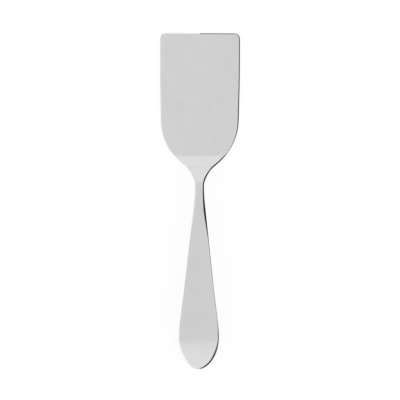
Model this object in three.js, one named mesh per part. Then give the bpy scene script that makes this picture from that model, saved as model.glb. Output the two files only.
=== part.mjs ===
import * as THREE from 'three';

// A lasagna server in stainless steel: a thin rolled blade with an upturned shoulder, welded end to end to a
// thicker forged handle and polished all over, so that the two look like one.
//
// Millimetres. Seen from above, +Y runs from the handle's butt to the blade's front edge, +X is to the right
// and +Z is up. The server lies on the flat underside of its blade and on the tip of its butt, both at z = 0,
// and the origin is under the middle of its length.
//
// The shape is worked out as the real one is made: first a flat blank, then the forming. A point of the blank
// has a distance behind the front edge, a distance out from the middle line and a height above the underside.
// The side view then says how high and how steep the underside is at each distance.

// Blank seen from above, the blade. Each length starts where the one before it ends, from the front edge on.
const bladeWidth = 60.6;
const cornerRadius = 4.2;
const sideLength = 65.6;
const shoulderWidth = 59.2;
const shoulderLean = 0.02;
const shoulderLength = 35.5;
const crossingWidth = 21.9;
const crossingAngle = 51.5;
const filletLength = 15;

// Blank seen from above, the handle
const neckWidth = 7;
const flareLength = 18.5;
const flareWidth = 9.7;
const gripLength = 78.8;
const gripWidth = 27.7;
const easeLength = 16;
const buttWidth = 30.4;
const buttLength = 24.1;

// The grip's sides bow in: they lean out more at their end than straight sides would, by this share
const gripBowShare = 1.17;

// How far each curve of the outline is pulled along its start and its end, as shares of its straight length
const sidePullShares = [0.7, 0.44];
const shoulderPullShares = [0.41, 0.3];
const filletPullShares = [0.27, 0.29];
const flarePullShares = [0.36, 0.33];
const gripPullShares = [1 / 3, 1 / 3];
const easePullShares = [0.31, 0.31];
const buttPullShares = [0.5, 0.23];

// Side view: lengths in turn from the front edge, and the underside's angles in degrees
const flatLength = 89.9;
const bendLength = 5;
const riseLength = 15.1;
const riseAngle = 30;
const turnLength = 11;
const archAngle = 8;
const droopAngle = 25;

// Thickness of the steel
const frontThickness = 1.2;
const sideThickness = 1.6;
const shoulderThickness = 1.7;
const weldThickness = 2.1;
const neckThickness = 3.5;
const gripThickness = 3.1;
const easeThickness = 2.8;
const buttThickness = 2.6;
const tipThickness = 2.2;

// Width, seen from above, to which the edges are rounded above and below. Each rounding is an arc that turns
// from the face by the edge angle and meets the side there. Past the flare its width narrows over a length of
// its own.
const frontEdge = 0.75;
const sideEdge = 0.9;
const shoulderEdge = 0.45;
const weldEdge = 0.4;
const neckEdge = 1.1;
const flareEdge = 1.7;
const flareEdgeFade = 26.3;
const gripEdge = 0.4;
const easeEdge = 0.28;
const buttEdge = 0.75;
const buttCurveEdge = 1.75;
const tipEdge = 1.65;
const edgeAngle = 45;
const highestEdgeShare = 0.45;

// Weld across the shoulder: a V groove, narrow below, filled flush
const weldSetback = 1.8;
const weldRoot = 0.8;
const grooveAngle = 20;

// Spacing of the rows that run across the steel
const sideStep = 8;
const shoulderStep = 1.7;
const gripStep = 5;
const easeStep = 3.4;
const bendSteps = 4;

// Counts of the other steps
const cornerSteps = 5;
const buttSteps = 12;
const edgeSteps = 3;
const columns = 4;
const halvings = 40;

const steelColour = 0xcfcfcf;
const bladeRoughness = 0.3;
const weldRoughness = 0.34;
const handleRoughness = 0.26;

const { degToRad, lerp, smoothstep } = THREE.MathUtils;
const quarterTurn = Math.PI / 2;
const edgeTurn = degToRad(edgeAngle);

// Distances behind the front edge, first of the outline and then of the side view
const crossingDistance = sideLength + shoulderLength;
const weldDistance = crossingDistance + weldSetback;
const neckDistance = crossingDistance + filletLength;
const flareDistance = neckDistance + flareLength;
const gripDistance = flareDistance + gripLength;
const buttDistance = gripDistance + easeLength;
const tipDistance = buttDistance + buttLength;
const bendEnd = flatLength + bendLength;
const turnStart = bendEnd + riseLength;
const turnEnd = turnStart + turnLength;

// One curve of the outline: x is the half width and y the distance behind the front edge
function pulledCurve(start, startDirection, end, endDirection, pullShares) {
  const span = start.distanceTo(end);
  return new THREE.CubicBezierCurve(
    start,
    start.clone().addScaledVector(startDirection, span * pullShares[0]),
    end.clone().addScaledVector(endDirection, -span * pullShares[1]),
    end,
  );
}

const straightBack = new THREE.Vector2(0, 1);
const straightIn = new THREE.Vector2(-1, 0);
const leaningIn = new THREE.Vector2(-shoulderLean, 1).normalize();
const crossing = new THREE.Vector2(0, 1).rotateAround(new THREE.Vector2(), degToRad(crossingAngle));
const flaring = new THREE.Vector2((gripWidth - flareWidth) / 2, gripLength).normalize();
const widening = new THREE.Vector2(flaring.x * gripBowShare, flaring.y).normalize();

const sideStart = new THREE.Vector2(bladeWidth / 2, cornerRadius);
const shoulderPoint = new THREE.Vector2(shoulderWidth / 2, sideLength);
const crossingPoint = new THREE.Vector2(crossingWidth / 2, crossingDistance);
const neckPoint = new THREE.Vector2(neckWidth / 2, neckDistance);
const flarePoint = new THREE.Vector2(flareWidth / 2, flareDistance);
const gripPoint = new THREE.Vector2(gripWidth / 2, gripDistance);
const buttPoint = new THREE.Vector2(buttWidth / 2, buttDistance);
const tipPoint = new THREE.Vector2(0, tipDistance);

const flank = [
  pulledCurve(sideStart, straightBack, shoulderPoint, leaningIn, sidePullShares),
  pulledCurve(shoulderPoint, leaningIn, crossingPoint, crossing, shoulderPullShares),
  pulledCurve(crossingPoint, crossing, neckPoint, straightBack, filletPullShares),
  pulledCurve(neckPoint, straightBack, flarePoint, flaring, flarePullShares),
  pulledCurve(flarePoint, flaring, gripPoint, widening, gripPullShares),
  pulledCurve(gripPoint, widening, buttPoint, straightBack, easePullShares),
];
const buttCurve = pulledCurve(buttPoint, straightBack, tipPoint, straightIn, buttPullShares);

// The outline's point and direction at a distance along the flank, found by halving
function flankAt(distance) {
  const curve = flank.find((piece) => piece.getPoint(1).y >= distance) ?? flank.at(-1);
  let low = 0;
  let high = 1;
  for (let halving = 0; halving < halvings; halving += 1) {
    const middle = (low + high) / 2;
    if (curve.getPoint(middle).y < distance) low = middle;
    else high = middle;
  }
  return { point: curve.getPoint(high), direction: curve.getTangent(high) };
}

// The two neighbours of a distance in a list of stations
function between(stations, distance) {
  const found = stations.findIndex((station) => station.at >= distance);
  const next = found < 0 ? stations.length - 1 : Math.max(1, found);
  return [stations[next - 1], stations[next]];
}

// Thickness and edge width at some stations, eased from one to the next. Both faces are flat across.
const sections = [
  { at: 0, thickness: frontThickness, edgeWidth: frontEdge },
  { at: sideLength, thickness: sideThickness, edgeWidth: sideEdge },
  { at: flatLength, thickness: shoulderThickness, edgeWidth: shoulderEdge },
  { at: weldDistance, thickness: weldThickness, edgeWidth: weldEdge },
  { at: neckDistance, thickness: neckThickness, edgeWidth: neckEdge },
  { at: flareDistance, thickness: neckThickness, edgeWidth: flareEdge },
  { at: flareDistance + flareEdgeFade, thickness: gripThickness, edgeWidth: gripEdge },
  { at: gripDistance, thickness: gripThickness, edgeWidth: easeEdge },
  { at: buttDistance, thickness: easeThickness, edgeWidth: buttEdge },
  { at: buttDistance + buttLength / 2, thickness: buttThickness, edgeWidth: buttCurveEdge },
  { at: tipDistance, thickness: tipThickness, edgeWidth: tipEdge },
];

function sectionAt(distance) {
  const [from, to] = between(sections, distance);
  const share = smoothstep(distance, from.at, to.at);
  const thickness = lerp(from.thickness, to.thickness, share);
  const edgeWidth = lerp(from.edgeWidth, to.edgeWidth, share);
  const arcHeight = edgeWidth * Math.tan(edgeTurn / 2);
  return { thickness, edgeWidth, edgeHeight: Math.min(arcHeight, thickness * highestEdgeShare) };
}

// Side view. Between two stations the slope changes evenly, so each stretch is straight or a parabola.
// The slope at the butt's start is the one that brings the tip's rounded lower edge down to z = 0.
function sideView() {
  const rise = Math.tan(degToRad(riseAngle));
  const arch = Math.tan(degToRad(archAngle));
  const droop = Math.tan(degToRad(droopAngle));
  const tip = sectionAt(tipDistance);
  const edgeRun = tip.edgeWidth * droop;
  const edgeRise = (tip.edgeHeight * Math.cos(degToRad(droopAngle))) / (1 - Math.cos(edgeTurn));
  const tipDrop = edgeRun + edgeRise - Math.hypot(edgeRun / Math.sin(edgeTurn), edgeRise);
  const bendHeight = (rise * bendLength) / 2;
  const riseHeight = bendHeight + rise * riseLength;
  const turnHeight = riseHeight + ((rise + arch) * turnLength) / 2;
  const archLength = buttDistance - turnEnd;
  const fall = turnHeight + tipDrop + (arch * archLength - droop * buttLength) / 2;
  const sag = (2 * fall) / (archLength + buttLength);
  const archHeight = turnHeight + ((arch - sag) * archLength) / 2;
  return [
    { at: 0, slope: 0, height: 0 },
    { at: flatLength, slope: 0, height: 0 },
    { at: bendEnd, slope: rise, height: bendHeight },
    { at: turnStart, slope: rise, height: riseHeight },
    { at: turnEnd, slope: arch, height: turnHeight },
    { at: buttDistance, slope: -sag, height: archHeight },
    { at: tipDistance, slope: -droop, height: -tipDrop },
  ];
}

const underside = sideView();

// Height and slope of the underside at a distance behind the front edge
function undersideAt(distance) {
  const [from, to] = between(underside, distance);
  const past = distance - from.at;
  const slope = from.slope + ((to.slope - from.slope) * past) / (to.at - from.at);
  return { slope, height: from.height + ((from.slope + slope) * past) / 2 };
}

// The levels of a section's side, from its lower face up, round both edges, to its upper face
function levelsOf({ thickness, edgeWidth, edgeHeight }) {
  const lower = [];
  for (let step = 0; step <= edgeSteps; step += 1) {
    const turn = edgeTurn * (step / edgeSteps);
    const inset = edgeWidth * (1 - Math.sin(turn) / Math.sin(edgeTurn));
    lower.push({ inset, height: (edgeHeight * (1 - Math.cos(turn))) / (1 - Math.cos(edgeTurn)) });
  }
  const upper = lower.map(({ inset, height }) => ({ inset, height: thickness - height })).reverse();
  return [...lower, ...upper];
}

// A row runs straight across the blank and is drawn at each level of its section, already formed.
// Its place function gives the row's half width and distance at an inset and a height.
function row(distance, place) {
  return levelsOf(sectionAt(distance)).map(({ inset, height }) => {
    const { half, along } = place(inset, height);
    const ground = undersideAt(along);
    const tilt = Math.atan(ground.slope);
    const y = height * Math.sin(tilt) - along;
    const z = height * Math.cos(tilt) + ground.height;
    return Array.from({ length: columns + 1 }, (_, column) => {
      return new THREE.Vector3(half * ((2 * column) / columns - 1), y, z);
    });
  });
}

function cornerRow(turn) {
  const middle = bladeWidth / 2 - cornerRadius;
  return row(cornerRadius * (1 - Math.cos(turn)), (inset) => ({
    half: middle + (cornerRadius - inset) * Math.sin(turn),
    along: cornerRadius - (cornerRadius - inset) * Math.cos(turn),
  }));
}

// A row between the corner and the butt. A lean shifts its upper levels along the outline, for the groove.
function flankRow(distance, lean = 0) {
  const { point, direction } = flankAt(distance);
  return row(distance, (inset, height) => ({
    half: point.x - inset / direction.y + (lean * height * direction.x) / direction.y,
    along: distance + lean * height,
  }));
}

function buttRow(share) {
  const point = buttCurve.getPoint(share);
  const direction = buttCurve.getTangent(share);
  return row(point.y, (inset) => ({
    half: Math.max(0, point.x - inset * direction.y),
    along: point.y + inset * direction.x,
  }));
}

function stepAt(distance) {
  if (distance < sideLength) return sideStep;
  if (distance > flatLength && distance < bendEnd) return bendLength / bendSteps;
  if (distance < flareDistance) return shoulderStep;
  return distance < gripDistance ? gripStep : easeStep;
}

// Rows from one distance to another: on each line where the shape changes, and evenly between those lines
function flankRows(from, to) {
  const formingLines = [flatLength, bendEnd, turnStart, turnEnd];
  const lines = [sideLength, ...formingLines, neckDistance, flareDistance, gripDistance];
  const inside = lines.filter((line) => line > from && line < to).sort((a, b) => a - b);
  const marks = [from, ...inside, to];
  const distances = [from];
  for (let i = 1; i < marks.length; i += 1) {
    const [start, end] = [marks[i - 1], marks[i]];
    const count = Math.ceil((end - start) / stepAt((start + end) / 2));
    for (let step = 1; step <= count; step += 1) distances.push(lerp(start, end, step / count));
  }
  return distances.map((distance) => flankRow(distance));
}

const grooveLean = Math.tan(degToRad(grooveAngle));
const grooveReach = weldRoot / 2 + weldThickness * grooveLean;
const grooveFront = flankRow(weldDistance - weldRoot / 2, -grooveLean);
const grooveBack = flankRow(weldDistance + weldRoot / 2, grooveLean);

const bladeRows = [
  ...Array.from({ length: cornerSteps }, (_, i) => cornerRow(quarterTurn * (i / cornerSteps))),
  ...flankRows(cornerRadius, weldDistance - grooveReach - weldRoot),
  grooveFront,
];
const beadRows = [grooveFront, grooveBack];
const handleRows = [
  grooveBack,
  ...flankRows(weldDistance + grooveReach + weldRoot, buttDistance),
  ...Array.from({ length: buttSteps }, (_, i) => buttRow((i + 1) / buttSteps)),
];

// A solid is a block of rows, levels and columns, of which only the outer faces are kept. Corners at one
// place become one, and triangles that shrink to a line at the tip are left out.
function solid(rows) {
  const positions = [];
  const indices = [];
  const known = new Map();
  const lastRow = rows.length - 1;
  const lastLevel = rows[0].length - 1;

  function corner([r, level, column]) {
    const place = rows[r][level][column].toArray();
    const key = place.map(Math.fround).join();
    if (!known.has(key)) {
      known.set(key, known.size);
      positions.push(...place);
    }
    return known.get(key);
  }

  function triangle(a, b, c) {
    if (a !== b && b !== c && c !== a) indices.push(a, b, c);
  }

  function face(...places) {
    const [first, second, third, fourth] = places.map(corner);
    triangle(first, second, third);
    triangle(first, third, fourth);
  }

  for (let r = 0; r < lastRow; r += 1) {
    for (let c = 0; c < columns; c += 1) {
      face([r, 0, c], [r, 0, c + 1], [r + 1, 0, c + 1], [r + 1, 0, c]);
      face([r, lastLevel, c], [r + 1, lastLevel, c], [r + 1, lastLevel, c + 1], [r, lastLevel, c + 1]);
    }
    for (let l = 0; l < lastLevel; l += 1) {
      face([r, l, 0], [r + 1, l, 0], [r + 1, l + 1, 0], [r, l + 1, 0]);
      face([r, l, columns], [r, l + 1, columns], [r + 1, l + 1, columns], [r + 1, l, columns]);
    }
  }
  for (let l = 0; l < lastLevel; l += 1) {
    for (let c = 0; c < columns; c += 1) {
      face([0, l, c], [0, l + 1, c], [0, l + 1, c + 1], [0, l, c + 1]);
      face([lastRow, l, c], [lastRow, l, c + 1], [lastRow, l + 1, c + 1], [lastRow, l + 1, c]);
    }
  }

  const geometry = new THREE.BufferGeometry();
  geometry.setAttribute('position', new THREE.Float32BufferAttribute(positions, 3));
  geometry.setIndex(indices);
  return geometry;
}

function steelMesh(name, rows, roughness) {
  const material = new THREE.MeshStandardMaterial({ color: steelColour, roughness, metalness: 1 });
  const mesh = new THREE.Mesh(solid(rows), material);
  mesh.name = name;
  return mesh;
}

const server = new THREE.Group();
server.add(
  steelMesh('blade', bladeRows, bladeRoughness),
  steelMesh('weld_bead', beadRows, weldRoughness),
  steelMesh('handle', handleRows, handleRoughness),
);

// The origin goes under the middle of the length
const reach = new THREE.Box3().setFromObject(server);
const middle = (reach.min.y + reach.max.y) / 2;
for (const mesh of server.children) mesh.geometry.translate(0, -middle, 0);

export default server;
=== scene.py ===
# %% [markdown]
# # A lasagna server in polished steel
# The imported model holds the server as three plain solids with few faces. This lesson gives each of them
# its fine surface and its finish, in the same place and at the same size, and then builds the white
# studio round them. All lengths are in metres. +Y points from the handle's butt to the blade's front
# edge, and +Z is up. A name that ends in angle is in degrees, and one that ends in turn or turns is in
# radians.

# %% Load the frame
import math

import bmesh
import bpy
import numpy as np
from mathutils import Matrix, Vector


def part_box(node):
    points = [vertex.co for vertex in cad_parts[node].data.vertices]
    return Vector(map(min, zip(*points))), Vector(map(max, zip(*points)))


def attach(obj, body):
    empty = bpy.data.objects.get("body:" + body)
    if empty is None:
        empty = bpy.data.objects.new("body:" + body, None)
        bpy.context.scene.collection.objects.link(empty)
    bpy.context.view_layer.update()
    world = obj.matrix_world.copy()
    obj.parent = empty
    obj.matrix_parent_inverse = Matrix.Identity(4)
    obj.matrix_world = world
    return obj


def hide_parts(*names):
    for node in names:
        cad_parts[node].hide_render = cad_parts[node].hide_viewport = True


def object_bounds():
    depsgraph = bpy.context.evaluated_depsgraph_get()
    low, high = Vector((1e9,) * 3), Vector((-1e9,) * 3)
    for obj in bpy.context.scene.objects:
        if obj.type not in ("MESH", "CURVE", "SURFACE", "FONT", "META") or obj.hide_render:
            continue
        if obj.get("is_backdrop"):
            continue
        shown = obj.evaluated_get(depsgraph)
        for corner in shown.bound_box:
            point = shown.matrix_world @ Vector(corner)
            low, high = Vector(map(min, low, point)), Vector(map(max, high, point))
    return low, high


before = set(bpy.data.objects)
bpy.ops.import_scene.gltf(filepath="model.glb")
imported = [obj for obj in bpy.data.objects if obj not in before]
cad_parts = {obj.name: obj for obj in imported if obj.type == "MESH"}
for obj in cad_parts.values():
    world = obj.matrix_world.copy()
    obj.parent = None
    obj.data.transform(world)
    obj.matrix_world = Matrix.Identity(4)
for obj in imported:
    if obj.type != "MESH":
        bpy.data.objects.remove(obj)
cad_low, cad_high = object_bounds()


def in_mm(*lengths):
    """Lengths in millimetres, as text."""
    return ", ".join(f"{1000 * length:.3f}" for length in lengths) + " mm"


print("nodes", sorted(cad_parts))
print("CAD box", in_mm(*(high - low for low, high in zip(cad_low, cad_high))))

# %% [markdown]
# ## The blank, seen from above
# The real blade is stamped from rolled sheet and the handle is forged from thicker bar, and then the two
# are welded end to end. A modeller could trace the outline by hand. Here it is drawn as a cutter would
# draw it on the flat blank, with a width at each place that matters and a smooth curve in between, so
# that the fine surface has the same shape as the solids. Each length starts where the one before it ends,
# from the front edge back.

# %% Widths and lengths of the blank
blade_width = 0.0606
corner_radius = 0.0042
side_length = 0.0656
shoulder_width = 0.0592
shoulder_lean = 0.02
shoulder_length = 0.0355
crossing_width = 0.0219
crossing_angle = 51.5
fillet_length = 0.015
neck_width = 0.0070
flare_length = 0.0185
flare_width = 0.0097
grip_length = 0.0788
grip_width = 0.0277
grip_bow_share = 1.17
ease_length = 0.016
butt_width = 0.0304
butt_length = 0.0241

crossing_distance = side_length + shoulder_length
neck_distance = crossing_distance + fillet_length
flare_distance = neck_distance + flare_length
grip_distance = flare_distance + grip_length
butt_distance = grip_distance + ease_length
tip_distance = butt_distance + butt_length
print("length of the blank", in_mm(tip_distance))

# %% A curve between two widths
curve_samples = 400


def pulled_curve(start, start_way, end, end_way, pull_shares):
    """Points of a stretch of outline, as half width and distance, and its direction at each of them."""
    span = np.linalg.norm(end - start)
    start_pull = span * pull_shares[0] * start_way
    end_pull = span * pull_shares[1] * end_way
    corners = (start, start + start_pull, end - end_pull, end)
    steps = [after - before for before, after in zip(corners, corners[1:])]
    t = np.linspace(0, 1, curve_samples)[:, None]
    s = 1 - t
    points = s**3 * corners[0] + 3 * s * s * t * corners[1] + 3 * s * t * t * corners[2] + t**3 * corners[3]
    ways = s * s * steps[0] + 2 * s * t * steps[1] + t * t * steps[2]
    return points, ways / np.linalg.norm(ways, axis=1, keepdims=True)


print("points in each stretch of outline", curve_samples)


# %% Directions in which the outline runs, and points where its curves meet
def unit(across, back):
    """A direction on the blank, of length one."""
    return np.array((across, back)) / math.hypot(across, back)


crossing_turn = math.radians(crossing_angle)
straight_back = unit(0, 1)
straight_in = unit(-1, 0)
leaning_in = unit(-shoulder_lean, 1)
crossing = unit(-math.sin(crossing_turn), math.cos(crossing_turn))
flaring = unit((grip_width - flare_width) / 2, grip_length)
widening = unit(grip_bow_share * flaring[0], flaring[1])

side_start = np.array((blade_width / 2, corner_radius))
shoulder_point = np.array((shoulder_width / 2, side_length))
crossing_point = np.array((crossing_width / 2, crossing_distance))
neck_point = np.array((neck_width / 2, neck_distance))
flare_point = np.array((flare_width / 2, flare_distance))
grip_point = np.array((grip_width / 2, grip_distance))
butt_point = np.array((butt_width / 2, butt_distance))
tip_point = np.array((0, tip_distance))
print("each side of the grip flares by", round(math.degrees(math.atan2(*flaring)), 1), "degrees")

# %% The flank from the corner to the butt, and the curve round the butt
side_pull_shares = (0.7, 0.44)
shoulder_pull_shares = (0.41, 0.3)
fillet_pull_shares = (0.27, 0.29)
flare_pull_shares = (0.36, 0.33)
grip_pull_shares = (1 / 3, 1 / 3)
ease_pull_shares = (0.31, 0.31)
butt_pull_shares = (0.5, 0.23)

flank_curves = (
    pulled_curve(side_start, straight_back, shoulder_point, leaning_in, side_pull_shares),
    pulled_curve(shoulder_point, leaning_in, crossing_point, crossing, shoulder_pull_shares),
    pulled_curve(crossing_point, crossing, neck_point, straight_back, fillet_pull_shares),
    pulled_curve(neck_point, straight_back, flare_point, flaring, flare_pull_shares),
    pulled_curve(flare_point, flaring, grip_point, widening, grip_pull_shares),
    pulled_curve(grip_point, widening, butt_point, straight_back, ease_pull_shares),
)
flank_points = np.vstack([points[:-1] for points, ways in flank_curves] + [butt_point])
flank_ways = np.vstack([ways[:-1] for points, ways in flank_curves] + [straight_back])
butt_points, butt_ways = pulled_curve(butt_point, straight_back, tip_point, straight_in, butt_pull_shares)
print("points along the flank", len(flank_points), "and round the butt", len(butt_points))


# %% Width and direction at any distance
def flank_at(distance):
    """The half width and the outline's direction at a distance behind the front edge."""
    half, across, back = (
        np.interp(distance, flank_points[:, 1], column)
        for column in (flank_points[:, 0], flank_ways[:, 0], flank_ways[:, 1])
    )
    return half, unit(across, back)


print("half width where shoulder and neck meet", in_mm(flank_at(crossing_distance)[0]))

# %% [markdown]
# ## Thickness and edges
# The sheet is thin at the front edge, and the forging is thickest at the neck, where the hand's force
# goes through. All edges are rounded over on the polishing wheel: softly along the blade, hardly at all
# along the grip, and most behind the neck and round the butt. A bevel modifier could round them, but one
# width for all would lose that change. So the section is worked out at each distance from a few stations,
# and eased between them.

# %% Thickness of the steel
front_thickness = 0.0012
side_thickness = 0.0016
shoulder_thickness = 0.0017
weld_thickness = 0.0021
neck_thickness = 0.0035
grip_thickness = 0.0031
ease_thickness = 0.0028
butt_thickness = 0.0026
tip_thickness = 0.0022
print("thickest and thinnest", in_mm(neck_thickness, front_thickness))

# %% Width of the rounded edges, seen from above
front_edge = 0.00075
side_edge = 0.0009
shoulder_edge = 0.00045
weld_edge = 0.0004
neck_edge = 0.0011
flare_edge = 0.0017
grip_edge = 0.0004
ease_edge = 0.00028
butt_edge = 0.00075
butt_curve_edge = 0.00175
tip_edge = 0.00165
print("widest and narrowest", in_mm(butt_curve_edge, ease_edge))

# %% Stations of the section
flat_length = 0.0899
weld_setback = 0.0018
flare_edge_fade = 0.0263

weld_distance = crossing_distance + weld_setback
slim_distance = flare_distance + flare_edge_fade
butt_curve_distance = butt_distance + butt_length / 2

sections = np.array((
    # distance behind the front edge, thickness, width of the rounded edge
    (0, front_thickness, front_edge),
    (side_length, side_thickness, side_edge),
    (flat_length, shoulder_thickness, shoulder_edge),
    (weld_distance, weld_thickness, weld_edge),
    (neck_distance, neck_thickness, neck_edge),
    (flare_distance, neck_thickness, flare_edge),
    (slim_distance, grip_thickness, grip_edge),
    (grip_distance, grip_thickness, ease_edge),
    (butt_distance, ease_thickness, butt_edge),
    (butt_curve_distance, butt_thickness, butt_curve_edge),
    (tip_distance, tip_thickness, tip_edge),
))
print("stations", len(sections))

# %% Section at any distance
edge_angle = 45
highest_edge_share = 0.45
edge_turn = math.radians(edge_angle)


def section_at(distance):
    """Thickness, width of the rounded edge seen from above, and height of that edge."""
    found = int(np.clip(np.searchsorted(sections[:, 0], distance), 1, len(sections) - 1))
    before, after = sections[found - 1], sections[found]
    share = np.clip((distance - before[0]) / (after[0] - before[0]), 0, 1)
    thickness, edge_width = (before + (after - before) * share * share * (3 - 2 * share))[1:]
    return thickness, edge_width, min(edge_width * math.tan(edge_turn / 2), thickness * highest_edge_share)


print("thickness, edge width and edge height at the neck", in_mm(*section_at(neck_distance)))

# %% [markdown]
# ## Forming
# Between two dies the shoulder is turned up along a straight line, and the handle is arched so that its
# butt comes back down to the table. A curve modifier could bend the flat blank, but it would stretch the
# steel by an amount that is hard to state. So the side view is written down as the dies have it: the
# underside is a row of straight stretches and shallow parabolas, because its slope changes evenly between
# the lines where a die touches. The blade lies on the table at height zero, and so does the rounded lower
# edge of the butt's tip.

# %% Lengths and angles of the side view
bend_length = 0.005
rise_length = 0.0151
turn_length = 0.011
rise_angle = 30
arch_angle = 8
droop_angle = 25

rise_slope = math.tan(math.radians(rise_angle))
arch_slope = math.tan(math.radians(arch_angle))
droop_turn = math.radians(droop_angle)
droop_slope = math.tan(droop_turn)
bend_end = flat_length + bend_length
turn_start = bend_end + rise_length
turn_end = turn_start + turn_length
arch_length = butt_distance - turn_end
print("length of the arch", in_mm(arch_length))

# %% How far the tip's underside would reach below the table if its edge weren't rounded
tip_edge_width, tip_edge_height = section_at(tip_distance)[1:]
edge_run = tip_edge_width * droop_slope
edge_rise = tip_edge_height * math.cos(droop_turn) / (1 - math.cos(edge_turn))
tip_drop = edge_run + edge_rise - math.hypot(edge_run / math.sin(edge_turn), edge_rise)
print("drop at the tip", in_mm(tip_drop))

# %% The underside
bend_height = rise_slope * bend_length / 2
rise_height = bend_height + rise_slope * rise_length
turn_height = rise_height + (rise_slope + arch_slope) * turn_length / 2
fall = turn_height + tip_drop + (arch_slope * arch_length - droop_slope * butt_length) / 2
sag_slope = 2 * fall / (arch_length + butt_length)
arch_height = turn_height + (arch_slope - sag_slope) * arch_length / 2

underside = np.array((
    # distance behind the front edge, slope, height
    (0, 0, 0),
    (flat_length, 0, 0),
    (bend_end, rise_slope, bend_height),
    (turn_start, rise_slope, rise_height),
    (turn_end, arch_slope, turn_height),
    (butt_distance, -sag_slope, arch_height),
    (tip_distance, -droop_slope, -tip_drop),
))


def underside_at(distances):
    """Slope angle and height of the underside at some distances behind the front edge."""
    found = np.clip(np.searchsorted(underside[:, 0], distances), 1, len(underside) - 1)
    start, start_slope, start_height = underside[found - 1].T
    end, end_slope, end_height = underside[found].T
    past = distances - start
    slope = start_slope + (end_slope - start_slope) * past / (end - start)
    return np.arctan(slope), start_height + (start_slope + slope) * past / 2


print("slope where the butt starts, in degrees", round(math.degrees(math.atan(-sag_slope)), 1))

# %% [markdown]
# ## Rows of points
# The surface is a lattice: rows straight across the steel, one behind the other, each with levels from
# the lower face up round the edge to the upper face, and columns from left to right. A cage with a
# subdivision modifier would need fewer points, but it would pull the tight edges in. The lattice puts
# each point where the steel is, and its columns crowd towards the edges, where the light changes fastest.

# %% One row, formed
edge_steps = 8
columns = 20
front_edge_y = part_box("blade")[1][1]
column_shares = np.sin(np.linspace(-math.pi / 2, math.pi / 2, columns + 1))
edge_turns = np.linspace(0, edge_turn, edge_steps + 1)


def row(distance, place):
    """Points of a row, levels by columns. place gives half width and distance for each inset and height."""
    thickness, edge_width, edge_height = section_at(distance)
    lower_insets = edge_width * (1 - np.sin(edge_turns) / math.sin(edge_turn))
    lower_heights = edge_height * (1 - np.cos(edge_turns)) / (1 - math.cos(edge_turn))
    insets = np.concatenate((lower_insets, lower_insets[::-1]))
    heights = np.concatenate((lower_heights, thickness - lower_heights[::-1]))
    halves, alongs = place(insets, heights)
    tilts, ground = underside_at(alongs)
    points = np.empty((len(insets), columns + 1, 3))
    points[..., 0] = halves[:, None] * column_shares
    points[..., 1] = (front_edge_y + heights * np.sin(tilts) - alongs)[:, None]
    points[..., 2] = (ground + heights * np.cos(tilts))[:, None]
    return points


print("a row has", 2 * len(edge_turns), "levels and", len(column_shares), "columns")


# %% Rows through the corners, along the flank and round the butt
def corner_row(turn):
    """A row through the front corners, at a turn round them."""
    middle = blade_width / 2 - corner_radius

    def place(insets, heights):
        radii = corner_radius - insets
        return middle + radii * math.sin(turn), corner_radius - radii * math.cos(turn)

    return row(corner_radius * (1 - math.cos(turn)), place)


def flank_row(distance, lean=0.0):
    """A row between the corners and the butt. A lean shifts its upper levels along, for the groove."""
    half, way = flank_at(distance)

    def place(insets, heights):
        return half - (insets - lean * heights * way[0]) / way[1], distance + lean * heights

    return row(distance, place)


def butt_row(step):
    """A row round the butt, at one of the points of its curve."""
    (half, along), way = butt_points[step], butt_ways[step]

    def place(insets, heights):
        return np.maximum(half - insets * way[1], 0), along + insets * way[0]

    return row(along, place)


print("width of the first row", in_mm(np.ptp(corner_row(0)[..., 0])))

# %% Rows from one distance to another
fine_step = 0.0006
plain_step = 0.0014
shaping_lines = (
    side_length, flat_length, bend_end, turn_start, turn_end,
    neck_distance, flare_distance, grip_distance,
)


def flank_rows(start, end):
    """Rows on each line where the shape changes, close together from bend to neck, and even in between."""
    marks = [start, *sorted(line for line in shaping_lines if start < line < end), end]
    distances = [start]
    for mark, next_mark in zip(marks, marks[1:]):
        bending = flat_length <= mark < neck_distance
        count = math.ceil((next_mark - mark) / (fine_step if bending else plain_step))
        distances.extend(np.linspace(mark, next_mark, count + 1)[1:])
    return [flank_row(distance) for distance in distances]


print("rows along the grip", len(flank_rows(flare_distance, grip_distance)))

# %% [markdown]
# ## Wear at the rim
# The rim of real cutlery is rubbed a little brighter than its faces, by drawers, cloths and plates.
# Blender's Pointiness could find the edges, but it changes with the number of faces. So each point of a
# mesh keeps a value of its own, which says how near it lies to the outline, and the steel reads that
# value later.

# %% Nearness to the outline
rim_reach = 0.0022
outline_stride = 3
corner_samples = curve_samples // 10

front_halves = np.linspace(0, blade_width / 2 - corner_radius, curve_samples)
front_line = np.column_stack((front_halves, np.zeros(curve_samples)))
corner_turns = np.linspace(0, math.pi / 2, corner_samples)
corner_arc = np.column_stack((
    blade_width / 2 - corner_radius * (1 - np.sin(corner_turns)),
    corner_radius * (1 - np.cos(corner_turns)),
))
outline = np.vstack((front_line, corner_arc, flank_points, butt_points))[::outline_stride]


def rim_nearness(points):
    """One at the outline of the steel, fading to nothing inside."""
    places = np.column_stack((np.abs(points[:, 0]), front_edge_y - points[:, 1]))
    gaps = np.array([np.hypot(*(outline - place).T).min() for place in places])
    return np.exp(-gaps / rim_reach)


on_edge_and_inside = np.array(((0, front_edge_y, 0), (0, front_edge_y - rim_reach, 0)))
print("nearness on the front edge and one reach inside", rim_nearness(on_edge_and_inside).round(2))

# %% [markdown]
# ## From rows to a mesh
# Each piece is a closed block of the lattice, of which only the outer faces are kept. Blender's tool for
# bridging loops could fill in between the rows, but numbered points say at once which four belong
# together. Where the rows run together at the tip of the butt, points that coincide are merged. The
# rounded edges are shaded smooth, and the faces hidden in the weld meet them at a sharp edge, so that no
# false shadow shows along the joint.

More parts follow.
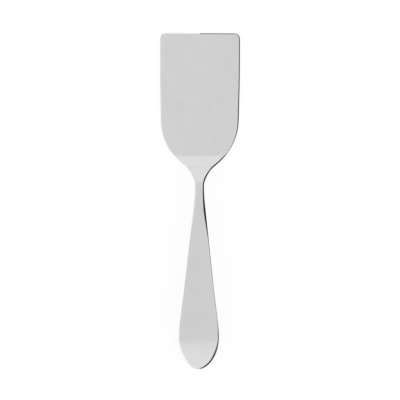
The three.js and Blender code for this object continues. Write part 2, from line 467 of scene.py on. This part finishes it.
# %% Outer faces of a block
def quads(grid, flipped):
    """The faces of a grid of point numbers."""
    faces = np.stack((grid[:-1, :-1], grid[:-1, 1:], grid[1:, 1:], grid[1:, :-1]), axis=-1).reshape(-1, 4)
    return faces[:, ::-1] if flipped else faces


def block_faces(numbers):
    """The six sides of a block of point numbers, rows by levels by columns, all facing out."""
    return np.vstack((
        quads(numbers[:, 0, :], False),
        quads(numbers[:, -1, :], True),
        quads(numbers[:, :, 0], True),
        quads(numbers[:, :, -1], False),
        quads(numbers[0], True),
        quads(numbers[-1], False),
    ))


print("a block of 2 by 2 by 2 points has", len(block_faces(np.arange(8).reshape(2, 2, 2))), "faces")

# %% A closed mesh from rows of points
merge_distance = 1e-8
sharp_angle = 30


def steel_piece(name, rows):
    """A closed mesh with smooth faces and a rim value at each point."""
    lattice = np.array(rows)
    numbers = np.arange(lattice[..., 0].size).reshape(lattice.shape[:3])
    used, faces = np.unique(block_faces(numbers), return_inverse=True)
    mesh = bpy.data.meshes.new(name)
    mesh.from_pydata(lattice.reshape(-1, 3)[used], [], faces.reshape(-1, 4))

    shell = bmesh.new()
    shell.from_mesh(mesh)
    bmesh.ops.remove_doubles(shell, verts=shell.verts, dist=merge_distance)
    open_edges = sum(not edge.is_manifold for edge in shell.edges)
    shell.to_mesh(mesh)
    shell.free()
    mesh.shade_smooth()
    mesh.set_sharp_from_angle(angle=math.radians(sharp_angle))

    points = np.empty(len(mesh.vertices) * 3)
    mesh.vertices.foreach_get("co", points)
    rim = mesh.attributes.new("rim", "FLOAT", "POINT")
    rim.data.foreach_set("value", rim_nearness(points.reshape(-1, 3)))
    piece = bpy.data.objects.new(name, mesh)
    bpy.context.scene.collection.objects.link(piece)
    print(name, "faces", len(mesh.polygons), "open edges", open_edges)
    return piece


# %% [markdown]
# ## Blade, weld and handle
# The weld's groove is a V, narrow below and wide above, so that the rod can reach the root. Its two walls
# lean away from each other, and the bead between them is ground flush. The blade ends on the groove's
# front wall and the handle starts on its back wall. One mesh for all three would look the same, but on
# the bench they are three pieces, so each has a mesh of its own, and neighbours share the row on their
# common wall.

# %% The groove's walls
weld_root = 0.0008
groove_angle = 20

groove_lean = math.tan(math.radians(groove_angle))
groove_reach = weld_root / 2 + section_at(weld_distance)[0] * groove_lean
groove_front = flank_row(weld_distance - weld_root / 2, -groove_lean)
groove_back = flank_row(weld_distance + weld_root / 2, groove_lean)
print("width of the bead on top", in_mm(2 * groove_reach))

# %% The three pieces
corner_steps = 18
butt_stride = 7

blade = steel_piece("blade_sheet", [
    *(corner_row(turn) for turn in np.linspace(0, math.pi / 2, corner_steps + 1)[:-1]),
    *flank_rows(corner_radius, weld_distance - groove_reach - weld_root),
    groove_front,
])
weld = steel_piece("weld_flush", [groove_front, groove_back])
handle = steel_piece("handle_forging", [
    groove_back,
    *flank_rows(weld_distance + groove_reach + weld_root, butt_distance),
    *(butt_row(step) for step in range(butt_stride, curve_samples, butt_stride)),
])

# %% [markdown]
# ## Polished stainless steel
# Seen from a step away the steel is an even, neutral grey, because it mirrors a white room. Close by it
# has what polishing and use leave: hair-fine lines along the length from the polishing belt, soft clouds
# where the wheel pressed more or less, a few thin scratches every which way, and rims that are rubbed a
# little brighter. Pictures of steel could be laid over it, but they would blur close by and repeat. Here
# all of it is worked out from the place on the steel. The lines and scratches are a few thousandths of a
# millimetre deep, so they go into the bump and the roughness, and the metal's colour hardly changes.

# %% Helpers that add nodes
def add(tree, kind, **settings):
    """A node with some of its settings made."""
    node = tree.nodes.new(kind)
    for name, value in settings.items():
        setattr(node, name, value)
    return node


def math_node(tree, operation, first, second=0.0):
    """Two numbers or sockets, joined by one operation."""
    node = add(tree, "ShaderNodeMath", operation=operation)
    for socket, value in zip(node.inputs, (first, second)):
        if isinstance(value, (int, float)):
            socket.default_value = value
        else:
            tree.links.new(value, socket)
    return node.outputs[0]


print("helpers", add.__name__, math_node.__name__)


# %% Helpers that read and shape values
def apart(tree, vector):
    """The three numbers of a vector or a colour."""
    node = add(tree, "ShaderNodeSeparateXYZ")
    tree.links.new(vector, node.inputs["Vector"])
    return node.outputs


def fade(tree, value, start, end):
    """Nothing at start, one at end, and smooth in between. The end may be the lower of the two."""
    node = add(tree, "ShaderNodeMapRange", interpolation_type="SMOOTHSTEP")
    tree.links.new(value, node.inputs["Value"])
    node.inputs["From Min"].default_value = min(start, end)
    node.inputs["From Max"].default_value = max(start, end)
    node.inputs["To Min"].default_value = float(start > end)
    node.inputs["To Max"].default_value = float(start <= end)
    return node.outputs[0]


def laid(tree, place, period, turn=0.0, seed=0.0):
    """The place measured in periods along X, Y and Z, after a turn about Z."""
    mapping = add(tree, "ShaderNodeMapping", vector_type="TEXTURE")
    mapping.inputs["Location"].default_value = (seed, seed, seed)
    mapping.inputs["Rotation"].default_value = (0, 0, turn)
    mapping.inputs["Scale"].default_value = period
    tree.links.new(place, mapping.inputs["Vector"])
    return mapping.outputs["Vector"]


print("helpers", apart.__name__, fade.__name__, laid.__name__)

# %% Clouds and polishing lines
cloud_size = 0.016
line_width = 0.00022
line_length = 0.03
line_depth = 1.5e-6
grain_detail = 3.0
grain_start_share = 0.3
grain_end_share = 0.7


def grain(tree, place, period):
    """Noise between nothing and one. A period that is long along one way makes lines along it."""
    noise = add(tree, "ShaderNodeTexNoise", noise_dimensions="3D")
    noise.inputs["Scale"].default_value = 1
    noise.inputs["Detail"].default_value = grain_detail
    tree.links.new(laid(tree, place, period), noise.inputs["Vector"])
    return fade(tree, noise.outputs["Fac"], grain_start_share, grain_end_share)


print("clouds are", in_mm(cloud_size), "across, and a line is", in_mm(line_width), "wide")

# %% [markdown]
# ## Scratches
# A knife's tip or a grain of grit leaves a thin straight stroke that is deepest in its middle. Stretched
# noise could stand for strokes, but it gives soft streaks that lie side by side. Voronoi cells give each
# stroke a cell of its own: the cell's place says where the stroke lies, and its random colour says how
# deep it is and how it leans.

# %% Strokes in cells
scratch_spacing = 0.005
scratch_length = 0.045
scratch_depth = 3e-6
scratch_width_share = 0.014
scratch_end_share = 0.45
scratch_full_share = 0.1
upright_share = 0.5
scratched_share = 0.6


def stroke(tree, spot):
    """One on a thin stroke in each cell that has a scratch, and nothing elsewhere."""
    cells = add(tree, "ShaderNodeTexVoronoi", voronoi_dimensions="2D", feature="F1")
    cells.inputs["Scale"].default_value = 1
    tree.links.new(spot, cells.inputs["Vector"])
    offset = add(tree, "ShaderNodeVectorMath", operation="SUBTRACT")
    tree.links.new(spot, offset.inputs[0])
    tree.links.new(cells.outputs["Position"], offset.inputs[1])
    across, along = apart(tree, offset.outputs["Vector"])[:2]
    chance, lean = apart(tree, cells.outputs["Color"])[:2]

    swing = math_node(tree, "MULTIPLY", along, math_node(tree, "SUBTRACT", lean, upright_share))
    aside = math_node(tree, "ABSOLUTE", math_node(tree, "ADD", across, swing))
    line = fade(tree, aside, scratch_width_share, 0.0)
    ends = fade(tree, math_node(tree, "ABSOLUTE", along), scratch_end_share, scratch_full_share)
    depth = fade(tree, chance, 1 - scratched_share, 1.0)
    return math_node(tree, "MULTIPLY", math_node(tree, "MULTIPLY", line, ends), depth)


def scratch_marks(tree, place, turns):
    """All scratches. Each turn adds a set of scratches that run about its way."""
    marks = 0.0
    for number, turn in enumerate(turns, start=1):
        spot = laid(tree, place, (scratch_spacing, scratch_length, 1), turn, scratch_length * number)
        marks = math_node(tree, "MAXIMUM", marks, stroke(tree, spot))
    return marks


print("scratches lie about", in_mm(scratch_spacing), "apart")

# %% [markdown]
# ## What the marks change
# On the real steel a cloud is a place that is polished a little less, a line is a tiny groove, a rim is
# rubbed and a scratch scatters the light. Painting each mark in a colour of its own would look like dirt.
# So each has two weights: one moves the tone by a few hundredths at most, and the other makes the steel
# rougher there.

# %% Weights of the marks
tone_reach = 0.045
tone_start_share = 0.1
cloud_tone_share = 0.4
line_tone_share = 0.4
rim_tone_share = 0.2
scratch_tone_share = -0.3

cloud_roughness = 0.06
line_roughness = 0.03
rim_roughness = 0.02
scratch_roughness = 0.12


def summed(tree, start, *parts):
    """A number plus each socket times its weight."""
    total = start
    for socket, weight in parts:
        total = math_node(tree, "ADD", total, math_node(tree, "MULTIPLY", socket, weight))
    return total


print("the tone moves by", tone_reach, "each way at most")


# %% The steel itself
def even_grey(level):
    """A grey without tint, as a colour."""
    return (level, level, level, 1)


def bumped(tree, height, distance, below=None, invert=False):
    """The normal with marks of a given depth. They lie over those of a normal below, if there is one."""
    bump = add(tree, "ShaderNodeBump", invert=invert)
    bump.inputs["Distance"].default_value = distance
    tree.links.new(height, bump.inputs["Height"])
    if below is not None:
        tree.links.new(below, bump.inputs["Normal"])
    return bump.outputs["Normal"]


def steel(name, grey, roughness, line_periods, scratch_turns):
    """Polished steel. line_periods gives the polishing lines' size along X, Y and Z."""
    material = bpy.data.materials.new(name)
    material.use_nodes = True
    tree = material.node_tree
    shader = tree.nodes["Principled BSDF"]
    shader.inputs["Metallic"].default_value = 1
    place = add(tree, "ShaderNodeTexCoord").outputs["Object"]
    rim = add(tree, "ShaderNodeAttribute", attribute_name="rim").outputs["Fac"]
    clouds = grain(tree, place, (cloud_size,) * 3)
    lines = grain(tree, place, line_periods)
    scratches = scratch_marks(tree, place, scratch_turns)

    tint = add(tree, "ShaderNodeMix", data_type="RGBA")
    tint.inputs["A"].default_value = even_grey((1 - tone_reach) * grey)
    tint.inputs["B"].default_value = even_grey((1 + tone_reach) * grey)
    tone = summed(tree, tone_start_share, (clouds, cloud_tone_share), (lines, line_tone_share),
                  (rim, rim_tone_share), (scratches, scratch_tone_share))
    tree.links.new(tone, tint.inputs["Factor"])
    tree.links.new(tint.outputs["Result"], shader.inputs["Base Color"])

    rough = summed(tree, roughness, (clouds, cloud_roughness), (lines, line_roughness),
                   (rim, rim_roughness), (scratches, scratch_roughness))
    tree.links.new(rough, shader.inputs["Roughness"])
    brushed = bumped(tree, lines, line_depth)
    tree.links.new(bumped(tree, scratches, scratch_depth, brushed, invert=True), shader.inputs["Normal"])
    print(name, "has", len(tree.nodes), "nodes")
    return material


# %% [markdown]
# ## One finish for each piece
# Blade and handle went over the belt lengthwise, and the weld was ground crosswise before it was
# polished, so it is a touch rougher. Sheet and forging are steels of slightly different grey. One
# material for all would do from afar, but close by the weld could not be told from its neighbours.

# %% The finishes
blade_grey = 0.630
weld_grey = 0.620
handle_grey = 0.615
polished_roughness = 0.09
ground_roughness = 0.11
lengthwise = (line_width, line_length, line_width)
crosswise = (line_length, line_width, line_width)
blade_scratch_turns = (0.35, -0.7, 1.2)
weld_scratch_turns = (0.35, 1.2)
handle_scratch_turns = (0.15, -0.4, 0.9)

finishes = {
    "blade": steel("blade_steel", blade_grey, polished_roughness, lengthwise, blade_scratch_turns),
    "weld_bead": steel("weld_steel", weld_grey, ground_roughness, crosswise, weld_scratch_turns),
    "handle": steel("handle_steel", handle_grey, polished_roughness, lengthwise, handle_scratch_turns),
}

# %% [markdown]
# ## In place of the solids
# The real server has three parts, and the imported model has a plain solid for each. Each fine piece gets
# its finish and rides on the root body, and the solid that it stands for is hidden.

for node, piece in {"blade": blade, "weld_bead": weld, "handle": handle}.items():
    piece.data.materials.append(finishes[node])
    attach(piece, "root")
    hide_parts(node)
    corners = np.array([piece.matrix_world @ vertex.co for vertex in piece.data.vertices])
    off = np.abs(np.array((corners.min(axis=0), corners.max(axis=0))) - np.array(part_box(node)))
    print(node, "differs from its solid's box by at most", in_mm(off.max()))

# %% [markdown]
# ## The white studio
# Polished steel has no look of its own: it shows the room. Lamps would show in it as spots, and a white
# room all round would make its edges vanish into the white floor. So the room is a world, worked out from
# the direction in which a ray leaves. A direction is read like a place on a globe, in degrees: the
# azimuth is zero on the right, 90 in front, 180 on the left and -90 at the back, and the elevation runs
# from -90 below to 90 above.

# %% Directions in the room
world = bpy.data.worlds.new("white_studio")
world.use_nodes = True
room = world.node_tree
to_right, to_front, to_top = apart(room, add(room, "ShaderNodeTexCoord").outputs["Generated"])
azimuth = math_node(room, "DEGREES", math_node(room, "ARCTAN2", to_front, to_right))
elevation = math_node(room, "DEGREES", math_node(room, "ARCSINE", to_top))
from_left = math_node(room, "SUBTRACT", 180.0, math_node(room, "ABSOLUTE", azimuth))
lying = math_node(room, "COSINE", math_node(room, "ARCSINE", to_top))
print("nodes that read the direction", len(room.nodes))


# %% A patch of the room
def zone(sides, heights):
    """One inside a patch and nothing outside. Each pair of angles is where it fades in or out."""
    inside = fade(room, azimuth, *sides[:2])
    for angle, pair in ((azimuth, sides[2:]), (elevation, heights[:2]), (elevation, heights[2:])):
        inside = math_node(room, "MULTIPLY", inside, fade(room, angle, *pair))
    print("patch at azimuths", sides[0], "to", sides[2], "and elevations", heights[0], "to", heights[2])
    return inside


def dimmed(light, patch, share):
    """Light with a share of it taken away where the patch is."""
    return math_node(room, "MULTIPLY", light, summed(room, 1.0, (patch, -share)))


# %% [markdown]
# ## Bright panels
# Edges that turn to the left are nearly white, the raised shoulder is lighter than the blade, and the
# butt is lighter than the grip. A photographer gets this with bright panels: one along the whole left
# side, one in front and one at the back. A low strip on the left lights the outermost part of the wide
# rounded edges, at the neck and the butt. Each panel fades out at its sides, so that no hard line shows
# on the steel.

# %% The panels
side_glow = 0.27
strip_glow = 0.25
end_glow = 0.18
left_panel_sides = (84, 56)
low_strip_sides = (70, 50)
low_strip_heights = (26, 10)
front_panel_sides = (60, 78, 130, 108)
front_panel_heights = (-2, 6, 66, 14)
back_panel_sides = (-130, -108, -74, -84)
back_panel_heights = (-2, 6, 58, 46)

left_panel = math_node(room, "MULTIPLY", lying, fade(room, from_left, *left_panel_sides))
strip_side = fade(room, from_left, *low_strip_sides)
low_strip = math_node(room, "MULTIPLY", strip_side, fade(room, elevation, *low_strip_heights))
front_panel = zone(front_panel_sides, front_panel_heights)
back_panel = zone(back_panel_sides, back_panel_heights)
panel_light = summed(room, 1.0, (left_panel, side_glow), (low_strip, strip_glow),
                     (front_panel, end_glow), (back_panel, end_glow))
print("nodes after the panels", len(room.nodes))

# %% [markdown]
# ## The black card
# A dark line runs along every edge that turns to the right. It is the mirror image of a black card that
# stands on that side, goes on down past the table's edge and bends round to the back. A thin dark line
# could be drawn on the steel, but it would stay when the server is turned. Two places in the card are
# dark grey, because blade and raised shoulder mirror them when the server is seen from the front left,
# and would look black there. A dim corner in front on the left darkens the steel when it is seen from
# behind on the right, where it would come too near to the floor's white.

# %% The dim corner
dim_share = 0.6
dim_corner_sides = (108, 122, 150, 138)
dim_corner_heights = (-70, -50, 46, 4)
cornered_light = dimmed(panel_light, zone(dim_corner_sides, dim_corner_heights), dim_share)
print("nodes after the corner", len(room.nodes))

# %% The card and its two grey places
card_share = 0.98
card_edge_shares = (0.10, 0.26)      # of a direction's length that points to the right
card_wing_sides = (-88, -78, -20, -40)
card_wing_heights = (-92, -91, 36, 24)
grey_share = 0.39
blade_place_sides = (-57, -51, -33, -39)
blade_place_heights = (5, 10, 25, 20)
rise_place_sides = (-25, -18, 0, -6)
rise_place_heights = (38, 43, 56, 51)

card_wing = zone(card_wing_sides, card_wing_heights)
black_card = math_node(room, "MAXIMUM", fade(room, to_right, *card_edge_shares), card_wing)
blade_place = zone(blade_place_sides, blade_place_heights)
rise_place = zone(rise_place_sides, rise_place_heights)
grey_places = math_node(room, "MAXIMUM", blade_place, rise_place)
studio_light = dimmed(cornered_light, dimmed(black_card, grey_places, grey_share), card_share)
print("nodes after the card", len(room.nodes))

# %% [markdown]
# ## Who sees what
# The camera sees plain white, and the floor is lit evenly by plain white. Panels made as objects would
# light the floor unevenly and could stand in the picture. So only rays that leave shiny or clear surfaces
# see the panels, the corner and the card, and Light Path tells the two kinds of ray apart.

# %% The world, with card and panels for mirrored rays alone
room_rays = add(room, "ShaderNodeLightPath").outputs
mirrored = math_node(room, "MAXIMUM", room_rays["Is Glossy Ray"], room_rays["Is Transmission Ray"])
seen = add(room, "ShaderNodeMix", data_type="FLOAT")
seen.inputs["A"].default_value = 1
room.links.new(mirrored, seen.inputs["Factor"])
room.links.new(studio_light, seen.inputs["B"])
room.links.new(seen.outputs["Result"], room.nodes["Background"].inputs["Color"])
bpy.context.scene.world = world
print("the room has", len(room.nodes), "nodes")

# %% [markdown]
# ## The floor
# The server lies on white card. A floor that is only lit would carry a far darker shadow, and one that
# only glows would carry none. So most of its white is its own, and the rest is reflected light, which
# keeps the server's soft shadow. Mirrored rays look past the floor, so that the steel sees the black card
# go on below the table's edge.

# %% White floor
floor_reach = 4.0
floor_drop = 0.00005
own_white_share = 0.9

bpy.ops.mesh.primitive_plane_add(size=2 * floor_reach, location=(0, 0, -floor_drop))
floor = bpy.context.object
floor.name = "studio_floor"
floor_card = bpy.data.materials.new("white_card")
floor_card.use_nodes = True
floor_tree = floor_card.node_tree
floor_tree.nodes.remove(floor_tree.nodes["Principled BSDF"])
paper = add(floor_tree, "ShaderNodeBsdfDiffuse")
paper.inputs["Color"].default_value = even_grey(1 - own_white_share)
own_white = add(floor_tree, "ShaderNodeEmission")
floor_rays = add(floor_tree, "ShaderNodeLightPath").outputs
watched = math_node(floor_tree, "MAXIMUM", floor_rays["Is Camera Ray"], floor_rays["Is Glossy Ray"])
watched = math_node(floor_tree, "MAXIMUM", watched, floor_rays["Is Transmission Ray"])
own_strength = math_node(floor_tree, "MULTIPLY", watched, own_white_share)
floor_tree.links.new(own_strength, own_white.inputs["Strength"])
both = add(floor_tree, "ShaderNodeAddShader")
floor_tree.links.new(paper.outputs["BSDF"], both.inputs[0])
floor_tree.links.new(own_white.outputs["Emission"], both.inputs[1])
floor_tree.links.new(both.outputs["Shader"], floor_tree.nodes["Material Output"].inputs["Surface"])
floor.data.materials.append(floor_card)
floor.visible_glossy = False
floor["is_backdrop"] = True
print(floor.name, "has", len(floor_tree.nodes), "nodes")

# %% [markdown]
# ## The flag
# Along the front edge a dark line starts all at once at the middle and runs to the right corner. A patch
# of the room can't begin there, because the room is far away and the whole straight edge mirrors the same
# part of it. Something dark that stands close by can, and photographers call it a flag. So a low strip of
# black felt stands upright just clear of the edge. Only mirrored rays meet it: it throws no shadow, and
# the camera looks past it.

# %% Black flag by the front edge
flag_left = -0.0001
flag_right = 0.04
flag_gap = 0.0003
flag_height = 0.003
felt_grey = 0.01

flag_y = front_edge_y + flag_gap
flag_corners = (
    (flag_left, flag_y, 0),
    (flag_right, flag_y, 0),
    (flag_right, flag_y, flag_height),
    (flag_left, flag_y, flag_height),
)
flag_mesh = bpy.data.meshes.new("black_flag")
flag_mesh.from_pydata(flag_corners, [], [range(len(flag_corners))])
flag = bpy.data.objects.new("black_flag", flag_mesh)
bpy.context.scene.collection.objects.link(flag)
felt = bpy.data.materials.new("black_felt")
felt.use_nodes = True
felt_shader = felt.node_tree.nodes["Principled BSDF"]
felt_shader.inputs["Base Color"].default_value = even_grey(felt_grey)
felt_shader.inputs["Specular IOR Level"].default_value = 0
flag_mesh.materials.append(felt)
flag.visible_camera = False
flag.visible_diffuse = False
flag.visible_shadow = False
flag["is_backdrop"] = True
print("length and height of the flag", in_mm(flag_right - flag_left, flag_height))

# %% [markdown]
# ## The camera
# The picture is taken from straight above with the blade at the top. An orthographic camera would do, but
# a long lens from far away is what a photographer has, and widths hardly change with height in it either.
# The server lies turned by about a quarter of a degree, and a little off the middle.

# %% Camera
picture_pixels = 400
server_pixels = 335.7
centre_right_pixels = 0.73
centre_up_pixels = 1.25
tilt_angle = 0.235
lens_in_mm = 300
farthest_seen = 20

metres_per_pixel = (cad_high[1] - cad_low[1]) / server_pixels
camera_data = bpy.data.cameras.new("overhead")
camera_data.lens = lens_in_mm
camera_data.clip_end = farthest_seen
camera = bpy.data.objects.new("overhead", camera_data)
bpy.context.scene.collection.objects.link(camera)
camera.location = (
    centre_right_pixels * metres_per_pixel,
    centre_up_pixels * metres_per_pixel,
    lens_in_mm / camera_data.sensor_width * picture_pixels * metres_per_pixel,
)
camera.rotation_euler = (0, 0, math.radians(tilt_angle))
bpy.context.scene.camera = camera
bpy.context.scene.view_settings.view_transform = "Standard"
print("height of the camera in metres", round(camera.location.z, 3))

# %% [markdown]
# ## Size
# The fine pieces must stay in the solids' box, so the two boxes are compared and the largest difference is
# printed.

# %% Compare the boxes
low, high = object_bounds()
differences = [abs(fine - solid) for fine, solid in zip((*low, *high), (*cad_low, *cad_high))]
print("largest difference", in_mm(max(differences)))
